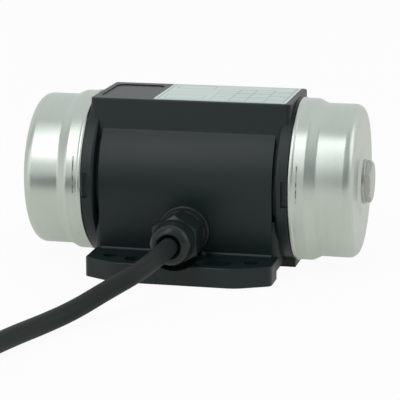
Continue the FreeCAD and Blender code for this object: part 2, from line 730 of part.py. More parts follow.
# ---------------------------------------------------------------- end shields
def make_end_shield():
    plate_x = RING_FACE_X + SHIELD_T
    hub_in = BEARING_IN_X - 0.4
    seat_end = BEARING_IN_X + BEARING_W + PRELOAD_T + RUN_GAP
    pilot_r = BORE_R - RUN_GAP
    hub_r = BEARING_OUT_R + HUB_WALL
    seat_r = BEARING_OUT_R + FIT_GAP
    body = turned([
        (hub_in, seat_r, 0.3), (hub_in, hub_r, 0.8), (RING_FACE_X, hub_r, 0.8),
        (RING_FACE_X, pilot_r - PILOT_WALL, 0), (RING_FACE_X - PILOT_L, pilot_r - PILOT_WALL, 0),
        (RING_FACE_X - PILOT_L, pilot_r, 0.4), (RING_FACE_X, pilot_r, 0),
        (RING_FACE_X, SHIELD_R, 0), (plate_x, SHIELD_R, 0.4),
        (plate_x, LIP_R, 0.3), (seat_end, LIP_R, 0), (seat_end, seat_r, 0),
    ])
    groove = turned([
        (SEAL_X - SEAL_SECTION_R - RUN_GAP, SHIELD_R - SEAL_GROOVE_DEPTH, 0),
        (SEAL_X - SEAL_SECTION_R - RUN_GAP, SHIELD_R + 1, 0),
        (SEAL_X + SEAL_SECTION_R + RUN_GAP, SHIELD_R + 1, 0),
        (SEAL_X + SEAL_SECTION_R + RUN_GAP, SHIELD_R - SEAL_GROOVE_DEPTH, 0),
    ])
    body = body.cut(groove)
    for y, z in shield_screw_spots():
        body = body.cut(rod(SMALL_SCREW_R + RUN_GAP, RING_FACE_X - 1, plate_x + 1, y, z))
    for side in (-1, 1):
        body = body.cut(rod(SMALL_SCREW_R + RUN_GAP, RING_FACE_X + 0.4, plate_x + 1, side * POST_PITCH_R))
    return body


def make_seal_ring():
    ring_r = SHIELD_R - SEAL_GROOVE_DEPTH + SEAL_SECTION_R + FIT_GAP
    return Part.makeTorus(ring_r, SEAL_SECTION_R, Vector(SEAL_X, 0, AXIS_Z), X_DIR)


def make_shield_screws():
    seat = RING_FACE_X + SHIELD_T
    length = SHIELD_T + SHIELD_SCREW_DEPTH - 1
    right = [cap_screw(seat, length, y, z) for y, z in shield_screw_spots()]
    left = [screw.mirror(Vector(0, 0, 0), X_DIR) for screw in right]
    return Part.makeCompound(left + right)


def make_preload_washer():
    start = BEARING_IN_X + BEARING_W
    return turned([
        (start, LIP_R + 0.4, 0), (start, BEARING_OUT_R - 0.1, 0),
        (start + PRELOAD_T, BEARING_OUT_R - 0.1, 0), (start + PRELOAD_T, LIP_R + 0.4, 0),
    ])


# ---------------------------------------------------------------- bearings
PITCH_R = (RACE_IN_R + RACE_OUT_R) / 2
BEARING_MID_X = BEARING_IN_X + BEARING_W / 2


def race_groove():
    return Part.makeTorus(PITCH_R, BALL_R + BALL_GAP, Vector(BEARING_MID_X, 0, AXIS_Z), X_DIR)


def make_outer_race():
    end_x = BEARING_IN_X + BEARING_W
    ring = turned([
        (BEARING_IN_X, RACE_OUT_R, 0), (BEARING_IN_X, BEARING_OUT_R, 0.6),
        (end_x, BEARING_OUT_R, 0.6), (end_x, RACE_OUT_R, 0),
    ])
    return ring.cut(race_groove())


def make_inner_race():
    end_x = BEARING_IN_X + BEARING_W
    bore = BEARING_BORE_R + FIT_GAP
    ring = turned([
        (BEARING_IN_X, bore, 0), (BEARING_IN_X, RACE_IN_R, 0), (end_x, RACE_IN_R, 0), (end_x, bore, 0),
    ])
    return ring.cut(race_groove())


def make_balls():
    ball = Part.makeSphere(BALL_R, Vector(BEARING_MID_X, 0, AXIS_Z + PITCH_R))
    return Part.makeCompound(around(ball, BALL_COUNT))


def make_ball_cage():
    start, end = BEARING_MID_X - CAGE_W / 2, BEARING_MID_X + CAGE_W / 2
    low, high = PITCH_R - CAGE_T / 2, PITCH_R + CAGE_T / 2
    band = turned([(start, low, 0), (start, high, 0), (end, high, 0), (end, low, 0)])
    pocket = post(BALL_R + RUN_GAP, AXIS_Z + PITCH_R - BALL_R, AXIS_Z + PITCH_R + BALL_R, BEARING_MID_X)
    for cutter in around(pocket, BALL_COUNT):
        band = band.cut(cutter)
    return band


# ---------------------------------------------------------------- shaft and rotor
def key_block(oversize):
    """The key in the top of the shaft under the fixed weight, or its slot."""
    x0 = WEIGHT_X + (WEIGHT_T - KEY_L) / 2
    z0 = AXIS_Z + BEARING_BORE_R - KEY_H + KEY_PROUD
    half = KEY_W / 2 + oversize
    return block(x0 - oversize, x0 + KEY_L + oversize, -half, half, z0 - oversize, z0 + KEY_H + oversize)


def make_shaft():
    journal = turned([
        (-SHAFT_END_X, 0, 0), (-SHAFT_END_X, BEARING_BORE_R, SHAFT_CHAMFER),
        (-BEARING_IN_X, BEARING_BORE_R, 0), (-BEARING_IN_X, SHAFT_R, 0.4),
        (BEARING_IN_X, SHAFT_R, 0.4), (BEARING_IN_X, BEARING_BORE_R, 0),
        (SHAFT_END_X, BEARING_BORE_R, SHAFT_CHAMFER), (SHAFT_END_X, 0, 0),
    ])
    groove_x = WEIGHT_X + 2 * WEIGHT_T + 2 * FACE_GAP
    for cutter in both_ends(turned([
        (groove_x, CIRCLIP_GROOVE_R, 0), (groove_x, BEARING_BORE_R + 1, 0),
        (groove_x + CIRCLIP_T + 2 * RUN_GAP, BEARING_BORE_R + 1, 0),
        (groove_x + CIRCLIP_T + 2 * RUN_GAP, CIRCLIP_GROOVE_R, 0),
    ])):
        journal = journal.cut(cutter)
    for cutter in both_ends(key_block(RUN_GAP)):
        journal = journal.cut(cutter)
    return journal


def bar_cutters(radius, length):
    bar = rod(radius, -length / 2, length / 2, 0, AXIS_Z + CAGE_BAR_PITCH_R)
    return around(bar, CAGE_BARS)


def make_rotor_core():
    core = turned([
        (-CORE_HALF_L, SHAFT_R + FIT_GAP, 0), (-CORE_HALF_L, ROTOR_R, 0.3),
        (CORE_HALF_L, ROTOR_R, 0.3), (CORE_HALF_L, SHAFT_R + FIT_GAP, 0),
    ])
    for cutter in bar_cutters(CAGE_BAR_R + FIT_GAP, 2 * CORE_HALF_L + 2):
        core = core.cut(cutter)
    return core


def make_rotor_cage():
    """Two end rings joined by the bars that run through the core."""
    inner = SHAFT_R + CAGE_RING_IN
    outer = CAGE_BAR_PITCH_R + CAGE_BAR_R + CAGE_RING_RIM
    ring = turned([
        (CORE_HALF_L, inner, 0), (CORE_HALF_L, outer, 0),
        (CORE_HALF_L + CAGE_RING_L, outer, 0.8), (CORE_HALF_L + CAGE_RING_L, inner, 0.8),
    ])
    left, right = both_ends(ring)
    return left.multiFuse([right] + bar_cutters(CAGE_BAR_R, 2 * CORE_HALF_L + CAGE_RING_L))


def make_spacer():
    start = BEARING_IN_X + BEARING_W
    bore = BEARING_BORE_R + FIT_GAP
    outer = bore + SPACER_WALL
    return turned([(start, bore, 0), (start, outer, 0.3), (WEIGHT_X, outer, 0.3), (WEIGHT_X, bore, 0)])


def make_circlip():
    start = WEIGHT_X + 2 * WEIGHT_T + 2 * FACE_GAP + RUN_GAP
    end, half = start + CIRCLIP_T, CIRCLIP_MOUTH / 2
    ring = rod(CIRCLIP_R, start, end).cut(rod(CIRCLIP_GROOVE_R + RUN_GAP, start - 1, end + 1))
    mouth = block(start - 1, end + 1, -half, half, AXIS_Z, AXIS_Z + CIRCLIP_R + 2)
    return ring.cut(mouth)


# ---------------------------------------------------------------- eccentric weights
def weight_outline():
    """Half-moon hanging from a round hub."""
    half = math.radians(WEIGHT_ANGLE / 2)
    side_y, side_z = WEIGHT_R * math.sin(half), -WEIGHT_R * math.cos(half)
    left, right = Vector(0, -side_y, AXIS_Z + side_z), Vector(0, side_y, AXIS_Z + side_z)
    low = Vector(0, 0, AXIS_Z - WEIGHT_R)
    hub_y, hub_z = WEIGHT_HUB_R * math.sin(half), -WEIGHT_HUB_R * math.cos(half)
    hub_left, hub_right = Vector(0, -hub_y, AXIS_Z + hub_z), Vector(0, hub_y, AXIS_Z + hub_z)
    hub_top = Vector(0, 0, AXIS_Z + WEIGHT_HUB_R)
    return Part.Wire([
        Part.Arc(left, low, right).toShape(), Part.LineSegment(right, hub_right).toShape(),
        Part.Arc(hub_right, hub_top, hub_left).toShape(), Part.LineSegment(hub_left, left).toShape(),
    ])


def weight_blank(start):
    plate = Part.Face(weight_outline()).extrude(Vector(WEIGHT_T, 0, 0))
    plate.translate(Vector(start, 0, 0))
    return plate


def make_fixed_weight():
    body = weight_blank(WEIGHT_X).cut(rod(BEARING_BORE_R + FIT_GAP, WEIGHT_X - 1, WEIGHT_X + WEIGHT_T + 1))
    return body.cut(key_block(RUN_GAP).fuse(key_block(RUN_GAP).translate(Vector(1, 0, 0))))


def clamp_height():
    return AXIS_Z + CLAMP_SCREW_Z


def make_outer_weight():
    start = WEIGHT_X + WEIGHT_T + FACE_GAP
    ear = block(start, start + WEIGHT_T, -CLAMP_EAR_W / 2, CLAMP_EAR_W / 2, AXIS_Z, AXIS_Z + CLAMP_EAR_H)
    body = weight_blank(start).fuse(ear)
    body = body.cut(rod(BEARING_BORE_R + RUN_GAP, start - 1, start + WEIGHT_T + 1))
    slit = block(start - 1, start + WEIGHT_T + 1, -CLAMP_SLIT / 2, CLAMP_SLIT / 2,
                 AXIS_Z, AXIS_Z + CLAMP_EAR_H + 1)
    body = body.cut(slit)
    middle_x = start + WEIGHT_T / 2
    across = rod_y(CLAMP_SCREW_R + RUN_GAP, -CLAMP_EAR_W, CLAMP_EAR_W, middle_x, clamp_height())
    seat = rod_y(CLAMP_HEAD_R + RUN_GAP, -CLAMP_EAR_W, -CLAMP_EAR_W / 2, middle_x, clamp_height())
    return body.cut(across).cut(seat).removeSplitter()


def make_clamp_screw():
    x = WEIGHT_X + WEIGHT_T + FACE_GAP + WEIGHT_T / 2
    half = CLAMP_EAR_W / 2
    top = -half - CLAMP_HEAD_H
    head = rod_y(CLAMP_HEAD_R, top, -half, x, clamp_height())
    socket = rod_y(CLAMP_SOCKET_R, top - 1, top + CLAMP_HEAD_H / 2, x, clamp_height())
    return head.cut(socket).fuse(rod_y(CLAMP_SCREW_R, -half, half, x, clamp_height())).removeSplitter()


# ---------------------------------------------------------------- stator
def stator_slot(gap):
    """One slot, opening towards the rotor, above the shaft; gap shrinks it all round."""
    mouth = STATOR_SLOT_MOUTH / 2 - gap
    tip_r = ROTOR_R + AIR_GAP + TOOTH_TIP + gap
    out_r = tip_r + STATOR_SLOT_DEPTH - 2 * gap
    pitch = math.pi / SLOT_COUNT
    in_half = tip_r * math.tan(pitch) * SLOT_SHARE_IN - gap
    out_half = out_r * math.tan(pitch) * SLOT_SHARE_OUT - gap
    return mouth, tip_r, out_r, in_half, out_half


def make_stator_core():
    core = rod(BORE_R - STATOR_YOKE_GAP, -CORE_HALF_L, CORE_HALF_L)
    core = core.cut(rod(ROTOR_R + AIR_GAP, -CORE_HALF_L - 1, CORE_HALF_L + 1))
    mouth, tip_r, out_r, in_half, out_half = stator_slot(0.0)
    corners = [
        (-mouth, ROTOR_R, 0), (mouth, ROTOR_R, 0), (mouth, tip_r, 0), (in_half, tip_r, 0),
        (out_half, out_r, 0), (-out_half, out_r, 0), (-in_half, tip_r, 0), (-mouth, tip_r, 0),
    ]
    slot = plate_across(corners, -CORE_HALF_L - 1, CORE_HALF_L + 1)
    for cutter in around(slot, SLOT_COUNT):
        core = core.cut(cutter)
    return core


def make_winding():
    """Coil sides in the slots and the bound overhang at both ends."""
    _, tip_r, out_r, in_half, out_half = stator_slot(COIL_GAP)
    corners = [(-in_half, tip_r, 0), (in_half, tip_r, 0), (out_half, out_r, 0), (-out_half, out_r, 0)]
    side = plate_across(corners, -CORE_HALF_L - 1, CORE_HALF_L + 1)
    start = CORE_HALF_L + COIL_GAP
    end = start + WINDING_L
    overhang = turned([
        (start, WINDING_IN_R, 0.8), (start, WINDING_OUT_R, 0.8),
        (end, WINDING_OUT_R, WINDING_EDGE), (end, WINDING_IN_R, WINDING_EDGE),
    ])
    left, right = both_ends(overhang)
    return left.multiFuse([right] + around(side, SLOT_COUNT))


# ---------------------------------------------------------------- cable gland
def make_gasket():
    return rod_y(GASKET_R, BOSS_FACE_Y - GASKET_T, BOSS_FACE_Y).cut(
        rod_y(GLAND_THREAD_R + RUN_GAP, BOSS_FACE_Y - GASKET_T - 1, BOSS_FACE_Y + 1))


def make_gland_body():
    seat = BOSS_FACE_Y - GASKET_T
    hex_start = seat - GLAND_BASE_T
    neck_end = hex_start - GLAND_HEX_L - GLAND_NECK_L
    base = turned_y([
        (BOSS_FACE_Y + GLAND_THREAD_L, 0, 0), (BOSS_FACE_Y + GLAND_THREAD_L, GLAND_THREAD_R, 0.6),
        (seat, GLAND_THREAD_R, 0), (seat, GLAND_BASE_R, 0.3), (hex_start, GLAND_BASE_R, 0.4),
        (hex_start, GLAND_NECK_R, 0), (neck_end, GLAND_NECK_R, 0.5), (neck_end, 0, 0),
    ])
    hexed = hexagon(GLAND_AF, Vector(0, hex_start + 0.01, GLAND_Z), GLAND_HEX_L, Y_DIR, Y_DIR * -1)
    body = base.fuse(hexed)
    bore = rod_y(CABLE_R + 0.3, neck_end - 1, BOSS_FACE_Y + GLAND_THREAD_L + 1)
    pocket = rod_y(GLAND_NECK_R - NUT_WALL, neck_end - 1, neck_end + INSERT_L + 0.1)
    return body.cut(bore).cut(pocket).removeSplitter()


def neck_end_y():
    return BOSS_FACE_Y - GASKET_T - GLAND_BASE_T - GLAND_HEX_L - GLAND_NECK_L


def make_gland_insert():
    start = neck_end_y()
    outer = GLAND_NECK_R - NUT_WALL - RUN_GAP
    bore = rod_y(CABLE_R + RUN_GAP, start - 1, start + INSERT_L + 1)
    return rod_y(outer, start, start + INSERT_L).cut(bore)


def make_gland_nut():
    hex_y = BOSS_FACE_Y - NUT_START
    dome_y = hex_y - NUT_HEX_L
    face_y = dome_y - NUT_DOME_L
    hexed = hexagon(NUT_AF, Vector(0, hex_y, GLAND_Z), NUT_HEX_L, Y_DIR, Y_DIR * -1)
    dome = turned_y([
        (dome_y + 1, 0, 0), (dome_y + 1, NUT_DOME_R, 0),
        (face_y, NUT_DOME_R, NUT_DOME_ROUND), (face_y, 0, 0),
    ])
    bore_r, bore_end = GLAND_NECK_R + NUT_BORE_GAP, neck_end_y() - 0.8
    flare_r = NUT_MOUTH_R + NUT_MOUTH_FLARE
    cavity = turned_y([
        (hex_y + 1, 0, 0), (hex_y + 1, bore_r, 0), (bore_end, bore_r, 0.4),
        (bore_end - NUT_SEAT_L, NUT_MOUTH_R, 0.4), (face_y + NUT_MOUTH_FLARE, NUT_MOUTH_R, 0),
        (face_y, flare_r, 0), (face_y - 1, flare_r, 0), (face_y - 1, 0, 0),
    ])
    return hexed.fuse(dome).cut(cavity).removeSplitter()


# ---------------------------------------------------------------- cable
def coil_section():
    half_w = COIL_LAYERS * CABLE_R
    mid_r = COIL_OUTER_R - (COIL_LAYERS - 1) * CABLE_R
    return mid_r, half_w, 2 * CABLE_R * COIL_ROWS


def make_cable_entry():
    """Jacketed end inside the gland."""
    return rod_y(CABLE_R, CABLE_START_Y, BOSS_FACE_Y + GLAND_THREAD_L - 1)


def make_cable_coil():
    mid_r, half_w, height = coil_section()
    section = rectangle(half_w, height / 2, COIL_EDGE, mid_r, height / 2)
    wire = rounded_wire(section, lambda r, z: Vector(COIL_X + r, COIL_Y, z))
    return Part.Face(wire).revolve(Vector(COIL_X, COIL_Y, 0), Z_DIR, 360)


def tail_spot(step, radius):
    _, _, height = coil_section()
    angle = math.radians(TAIL_START_DEG - TAIL_STEP_DEG * step)
    return (COIL_X + radius * math.cos(angle), COIL_Y + radius * math.sin(angle), height + CABLE_R)


def tail_points():
    """The last stretch of the jacket, lying on top of the coil."""
    mid_r, _, _ = coil_section()
    return [tail_spot(step, mid_r) for step in range(TAIL_STEPS)]


def make_cable_cores():
    """Bared cores beyond the end of the jacket, on top of the coil."""
    points = tail_points()
    end = Vector(*points[-1])
    heading = (end - Vector(*points[-2])).normalize()
    across = heading.cross(Z_DIR).normalize()
    _, _, height = coil_section()
    cores = []
    for i in range(CORE_COUNT):
        side = (i - (CORE_COUNT - 1) / 2) * CORE_PITCH
        start = Vector(end.x, end.y, height + CORE_R) + across * side + heading * END_GAP
        spread = (heading + across * (CORE_SPLAY * side)).normalize()
        cores.append(Part.makeCylinder(CORE_R, CORE_L, start, spread))
    return Part.makeCompound(cores)


def make_leads():
    """Insulated leads from the cable through the wiring pocket to the winding."""
    start_y = BOSS_FACE_Y + GLAND_THREAD_L - 1 + END_GAP
    lie_y = POCKET_FRONT_Y + 2 * LEAD_R + LEAD_CLEAR
    far_x = CORE_HALF_L + 0.5 * WINDING_L
    leads = []
    for i in range(CORE_COUNT - 1):
        x = (i - 1) * LEAD_PITCH
        z = GLAND_Z + x
        points = [
            (x, start_y, z), (x + LEAD_R, start_y + LEAD_RISE, z),
            (x + LEAD_SWEEP, lie_y, z + 0.2), (CORE_HALF_L - 1.0 + x, lie_y - 0.1, z + 0.3),
            (far_x + x, lie_y + LEAD_RISE, z + LEAD_RISE),
        ]
        leads.append(tube(points, LEAD_R)[0])
    return Part.makeCompound(leads)


# ---------------------------------------------------------------- the whole
def all_nodes():
    nodes = {
        "housing": make_housing(),
        "rating_plate": make_rating_plate(),
        "stator_core": make_stator_core(),
        "stator_winding": make_winding(),
        "shield_screws": make_shield_screws(),
        "shaft": make_shaft(),
        "rotor_core": make_rotor_core(),
        "rotor_cage": make_rotor_cage(),
        "gland_gasket": make_gasket(),
        "gland_body": make_gland_body(),
        "gland_insert": make_gland_insert(),
        "gland_nut": make_gland_nut(),
        "cable_entry": make_cable_entry(),
        "lead_wires": make_leads(),
        "cable_coil": make_cable_coil(),
        "cable_cores": make_cable_cores(),
    }
    paired = {
        "cap": make_cap(),
        "cap_washer": make_cap_washer(),
        "cap_bolt": make_cap_bolt(),
        "bridge_bar": make_bridge_bar(),
        "bridge_posts": make_bridge_posts(),
        "bridge_screws": make_bridge_screws(),
        "end_shield": make_end_shield(),
        "seal_ring": make_seal_ring(),
        "preload_washer": make_preload_washer(),
        "bearing_outer": make_outer_race(),
        "bearing_inner": make_inner_race(),
        "bearing_balls": make_balls(),
        "bearing_cage": make_ball_cage(),
        "shaft_spacer": make_spacer(),
        "shaft_key": key_block(0.0),
        "circlip": make_circlip(),
        "fixed_weight": make_fixed_weight(),
        "outer_weight": make_outer_weight(),
        "clamp_screw": make_clamp_screw(),
    }
    for name, shape in paired.items():
        nodes[name + "_left"], nodes[name + "_right"] = both_ends(shape)
    run, run_wire, run_radii = tube(CABLE_ROUTE, CABLE_R)
    tail, tail_wire, tail_radii = tube(tail_points(), CABLE_R)
    nodes["cable_run"] = run
    nodes["cable_tail"] = tail
    section = math.pi * CABLE_R ** 2
    print("cable run: volume over section x length", round(run.Volume / (section * run_wire.Length), 4))
    print("cable run: arc radii", [round(r, 1) for r in run_radii])
    print("cable tail: arc radii", [round(r, 1) for r in tail_radii])
    return nodes


os.makedirs("parts", exist_ok=True)
for node_name, solid in all_nodes().items():
    solid.exportStep(os.path.join("parts", node_name + ".step"))
    volume = round(solid.Volume, 1)
    print(node_name, "solids", len(solid.Solids), "volume", volume, "valid", solid.isValid())
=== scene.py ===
import math
import bpy
from mathutils import Matrix, Vector


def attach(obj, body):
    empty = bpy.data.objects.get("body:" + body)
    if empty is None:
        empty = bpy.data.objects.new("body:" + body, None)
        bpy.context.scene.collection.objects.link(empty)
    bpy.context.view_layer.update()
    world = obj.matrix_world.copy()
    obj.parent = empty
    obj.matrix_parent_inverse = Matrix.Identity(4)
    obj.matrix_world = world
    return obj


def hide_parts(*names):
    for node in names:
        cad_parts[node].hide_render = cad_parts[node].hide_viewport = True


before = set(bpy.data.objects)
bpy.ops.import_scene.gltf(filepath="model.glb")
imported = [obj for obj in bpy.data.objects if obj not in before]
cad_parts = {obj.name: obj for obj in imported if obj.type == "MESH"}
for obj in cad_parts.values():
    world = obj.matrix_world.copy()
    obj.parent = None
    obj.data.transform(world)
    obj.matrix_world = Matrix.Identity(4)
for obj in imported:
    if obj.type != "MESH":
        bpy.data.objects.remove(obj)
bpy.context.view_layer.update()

MM = 0.001

# sizes the scene shares with the CAD part, in millimetres
AXIS_Z = 38.9
PLATE_X, PLATE_Y = 13.25, -0.5
PLATE_L, PLATE_W = 60.5, 41.8
CAP_GROOVE_X = 50.9         # short line pressed into the rim of each cap, painted dark as the shade in it
GROOVE_W = 0.55
GROOVE_SPAN_Z = (35.3, 51.6)
CABLE_R = 4.1

# the cable's way over the table, from the gland to the coil
CABLE_ROUTE = [
    (0.0, -61.5, 19.5),
    (0.0, -80.0, 19.5),
    (-5.5, -96.5, 16.0),
    (-15.5, -109.5, 11.3),
    (-25.0, -123.5, 6.4),
    (-33.5, -138.0, 4.15),
    (-40.0, -156.0, 4.15),
    (-46.0, -177.0, 4.15),
    (-50.0, -200.0, 4.15),
]

# the put-away coil: centre, and the places its turns take one after another (radius, height)
COIL_X, COIL_Y = -100.0, -200.0
COIL_OUTER, COIL_INNER, COIL_MIDDLE = 50.0, 41.8, 45.9
COIL_ROWS = [4.15, 12.35, 20.55]
COIL_TOP = 28.7
COIL_PLACES = [
    (COIL_OUTER, COIL_ROWS[0]), (COIL_INNER, COIL_ROWS[0]),
    (COIL_INNER, COIL_ROWS[1]), (COIL_OUTER, COIL_ROWS[1]),
    (COIL_OUTER, COIL_ROWS[2]), (COIL_INNER, COIL_ROWS[2]),
    (COIL_MIDDLE, COIL_TOP),
]
FIRST_CROSSING = 270.0    # degrees wound before the first change of place
CROSSING_PITCH = 315.0    # degrees from one change of place to the next
CROSSING_WIDTH = 40.0     # degrees that a change of place takes
COIL_END = 2026.0         # degrees wound in all
POINTS_A_TURN = 24


# ---------------------------------------------------------------- camera
def place_camera():
    spot = Vector((0.1918476, -0.8584923, 0.2247784))
    target = Vector((-0.0002425, 0.0, 0.0263861))
    lens = bpy.data.cameras.new("camera")
    lens.lens = 175.024
    lens.sensor_width = 36.0
    lens.clip_start = 0.05
    camera = bpy.data.objects.new("camera", lens)
    camera.location = spot
    camera.rotation_euler = (target - spot).to_track_quat("-Z", "Y").to_euler()
    bpy.context.scene.collection.objects.link(camera)
    bpy.context.scene.camera = camera


# ---------------------------------------------------------------- cable
def coil_place(wound):
    """Radius and height of the cable after so many degrees of winding."""
    radius, height = COIL_PLACES[0]
    for count, (next_radius, next_height) in enumerate(COIL_PLACES[1:]):
        start = FIRST_CROSSING + CROSSING_PITCH * count
        share = min(max((wound - start) / CROSSING_WIDTH, 0.0), 1.0)
        share = share * share * (3.0 - 2.0 * share)
        radius += (next_radius - radius) * share
        height += (next_height - height) * share
    return radius, height


def coil_points():
    """Control points of the turns, wound clockwise as seen from above."""
    step = 360.0 / POINTS_A_TURN
    stand_off = 1.0 / math.cos(math.radians(step / 2.0))
    points = []
    count = int(round(COIL_END / step))
    for i in range(1, count + 1):
        wound = min(step * i, COIL_END)
        radius, height = coil_place(wound)
        turn = math.radians(-wound)
        reach = radius * stand_off
        points.append((COIL_X + reach * math.cos(turn), COIL_Y + reach * math.sin(turn), height))
    return points


def smooth_curve(name, points, radius, resolution, sides):
    """Round cord along a smooth line whose control points are given in millimetres."""
    data = bpy.data.curves.new(name, "CURVE")
    data.dimensions = "3D"
    data.bevel_depth = 1.0
    data.bevel_resolution = sides
    data.use_fill_caps = True
    data.resolution_u = resolution
    line = data.splines.new("NURBS")
    line.points.add(len(points) - 1)
    for point, spot in zip(line.points, points):
        point.co = (spot[0] * MM, spot[1] * MM, spot[2] * MM, 1.0)
        point.radius = radius * MM
    line.order_u = 3
    line.use_endpoint_u = True
    piece = bpy.data.objects.new(name, data)
    bpy.context.scene.collection.objects.link(piece)
    return piece


bpy.context.scene.view_settings.view_transform = "Standard"
place_camera()
cable_line = CABLE_ROUTE + coil_points()
cable = smooth_curve("cable", cable_line, CABLE_R, resolution=6, sides=7)
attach(cable, "housing")
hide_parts("cable_run", "cable_coil", "cable_tail")


# ---------------------------------------------------------------- bared cores
CORE_R = 1.0
CORE_PITCH = 2.1
CORE_L = 24.0
BARE_L = 6.0
CONDUCTOR_R = 0.62
CORE_Z = 25.6
BUNDLE_R = 1.05           # of each core from the middle of the bundle, sideways and up
BUNDLE_START = 3.0        # of the cores, inside the jacket
BUNDLE_END = 1.5          # outside the jacket, where the cores begin to part
BUNDLE_BEND = 4.5
GROUND_START = 9.0        # where the cores lie down side by side
GROUND_MIDDLE = 14.0
SPREAD_MIDDLE, SPREAD_TIP = 0.05, 0.12    # fanning out, as a share of the core's place
CONDUCTOR_OVERLAP = 2.0
CORE_COLOURS = ["brown", "black", "grey", "green"]


def cable_end():
    """End of the jacket and the direction it points in."""
    end = Vector(cable_line[-1])
    heading = end - Vector(cable_line[-2])
    heading.z = 0.0
    return end, heading.normalized()


def make_cores():
    """Four insulated cores that leave the jacket as a bundle and lie down side by side."""
    end, heading = cable_end()
    across = heading.cross(Vector((0.0, 0.0, 1.0))).normalized()
    cores = []
    for i, colour in enumerate(CORE_COLOURS):
        side = (i - 1.5) * CORE_PITCH
        sideways = BUNDLE_R if i >= 2 else -BUNDLE_R
        upwards = BUNDLE_R if i in (1, 2) else -BUNDLE_R
        bundle = across * sideways + Vector((0, 0, upwards))
        ground = Vector((end.x, end.y, CORE_Z)) + across * side
        points = [
            end + bundle - heading * BUNDLE_START,
            end + bundle + heading * BUNDLE_END,
            end + bundle * 1.1 + heading * BUNDLE_BEND,
            ground + heading * GROUND_START,
            ground + heading * GROUND_MIDDLE + across * (side * SPREAD_MIDDLE),
            ground + heading * (CORE_L - BARE_L) + across * (side * SPREAD_TIP),
        ]
        core = smooth_curve("core_" + colour, points, CORE_R, resolution=8, sides=4)
        tip = points[-1]
        run = (points[-1] - points[-2]).normalized()
        bared = [tip - run * CONDUCTOR_OVERLAP, tip + run * CONDUCTOR_OVERLAP, tip + run * BARE_L]
        wire = smooth_curve("conductor_" + colour, bared, CONDUCTOR_R, resolution=6, sides=4)
        for piece in (core, wire):
            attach(piece, "housing")
        cores.append((core, wire))
    return cores


core_pairs = make_cores()
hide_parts("cable_cores")


# ---------------------------------------------------------------- modelling helpers
def clear_selection():
    if bpy.context.object and bpy.context.object.mode != "OBJECT":
        bpy.ops.object.mode_set(mode="OBJECT")
    bpy.ops.object.select_all(action="DESELECT")


def rename(name):
    piece = bpy.context.object
    piece.name = name
    piece.data.name = name
    return piece


def choose(piece, kind, wanted):
    """Selects the faces or edges whose middle or normal fits, in edit mode."""
    bpy.ops.object.mode_set(mode="EDIT")
    bpy.ops.mesh.select_mode(type="FACE" if kind == "face" else "EDGE")
    bpy.ops.mesh.select_all(action="DESELECT")
    bpy.ops.object.mode_set(mode="OBJECT")
    if kind == "face":
        for face in piece.data.polygons:
            face.select = wanted(face)
    else:
        spots = piece.data.vertices
        for edge in piece.data.edges:
            edge.select = wanted(spots[edge.vertices[0]].co, spots[edge.vertices[1]].co)
    bpy.ops.object.mode_set(mode="EDIT")


def settle(piece):
    """Leaves edit mode and puts the piece's place into its mesh."""
    bpy.ops.object.mode_set(mode="OBJECT")
    bpy.ops.object.select_all(action="DESELECT")
    piece.select_set(True)
    bpy.context.view_layer.objects.active = piece
    bpy.ops.object.transform_apply(location=True, rotation=True, scale=True)


# ---------------------------------------------------------------- cable tie
TIE_WOUND = 22.0          # degrees of winding where the tie sits
TIE_W = 4.6
TIE_T = 0.9
TIE_HEAD = (6.4, 5.4, 4.6)
TIE_HEAD_OUT = 1.9        # of the head's middle outside the strap
STRAP_EDGE = 0.18
HEAD_EDGE = 0.7
HEAD_RIM, HEAD_RECESS = 0.8, 0.5
SMOOTH_ANGLE = math.radians(35)


